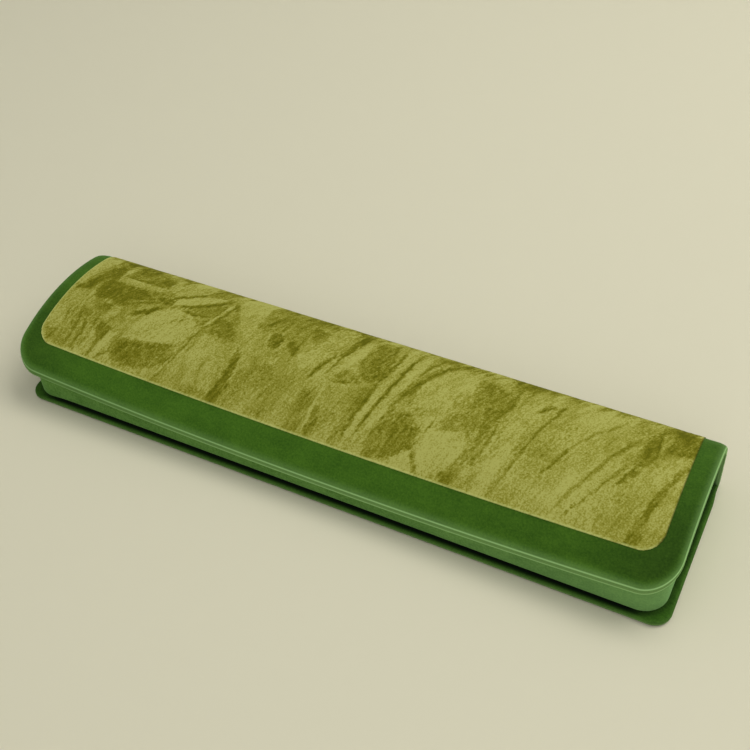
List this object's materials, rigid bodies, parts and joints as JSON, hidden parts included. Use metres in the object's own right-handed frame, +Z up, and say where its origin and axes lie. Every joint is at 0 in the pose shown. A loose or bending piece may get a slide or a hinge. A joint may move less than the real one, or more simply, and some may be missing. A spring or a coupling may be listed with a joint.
{
  "type": "jewelry case",
  "caption": "Long low velvet jewelry case: domed cover with an inlaid top, cloth hinge along the back edge, padded tray on a flat base plate.",
  "frame": {"origin": "centre of the case's underside, on the surface that it stands on", "axes": "+X along the length of the case, -Y towards its opening front, +Z up"},
  "size_m": [0.225, 0.058, 0.0245],
  "materials": {
    "outer_velvet": "short-pile green velvet, soft light edge",
    "crushed_velvet": "crushed olive velvet with light and dark nap",
    "inner_velvet": "short-pile green velvet, lighter",
    "band": "woven elastic, green",
    "board": "grey board",
    "tray_core": "matt",
    "padding": "thin foam sheet",
    "closure_metal": "plated"
  },
  "bodies": {
    "base": {"base_cloth": "outer_velvet", "base_board": "board", "plate_velvet": "outer_velvet", "tray_shell": "tray_core", "tray_velvet": "outer_velvet", "tray_lining": "inner_velvet", "tray_magnets": "closure_metal", "insert_card": "board", "insert_foam": "padding", "insert_velvet": "inner_velvet", "strap_left": "band", "strap_right": "band"},
    "cover": {"cover_board": "board", "cover_velvet": "outer_velvet", "lid_inlay": "crushed_velvet", "lid_keepers": "closure_metal", "cover_lining": "inner_velvet", "lid_foam": "padding", "lid_pad_velvet": "inner_velvet", "hinge_cloth": "outer_velvet"}
  },
  "joints": [
    {"name": "lid_hinge", "type": "hinge", "parent": "base", "child": "cover", "pos_m": [0, 0.029, 0], "axis": [-1, 0, 0], "range_deg": [0, 90]}
  ]
}
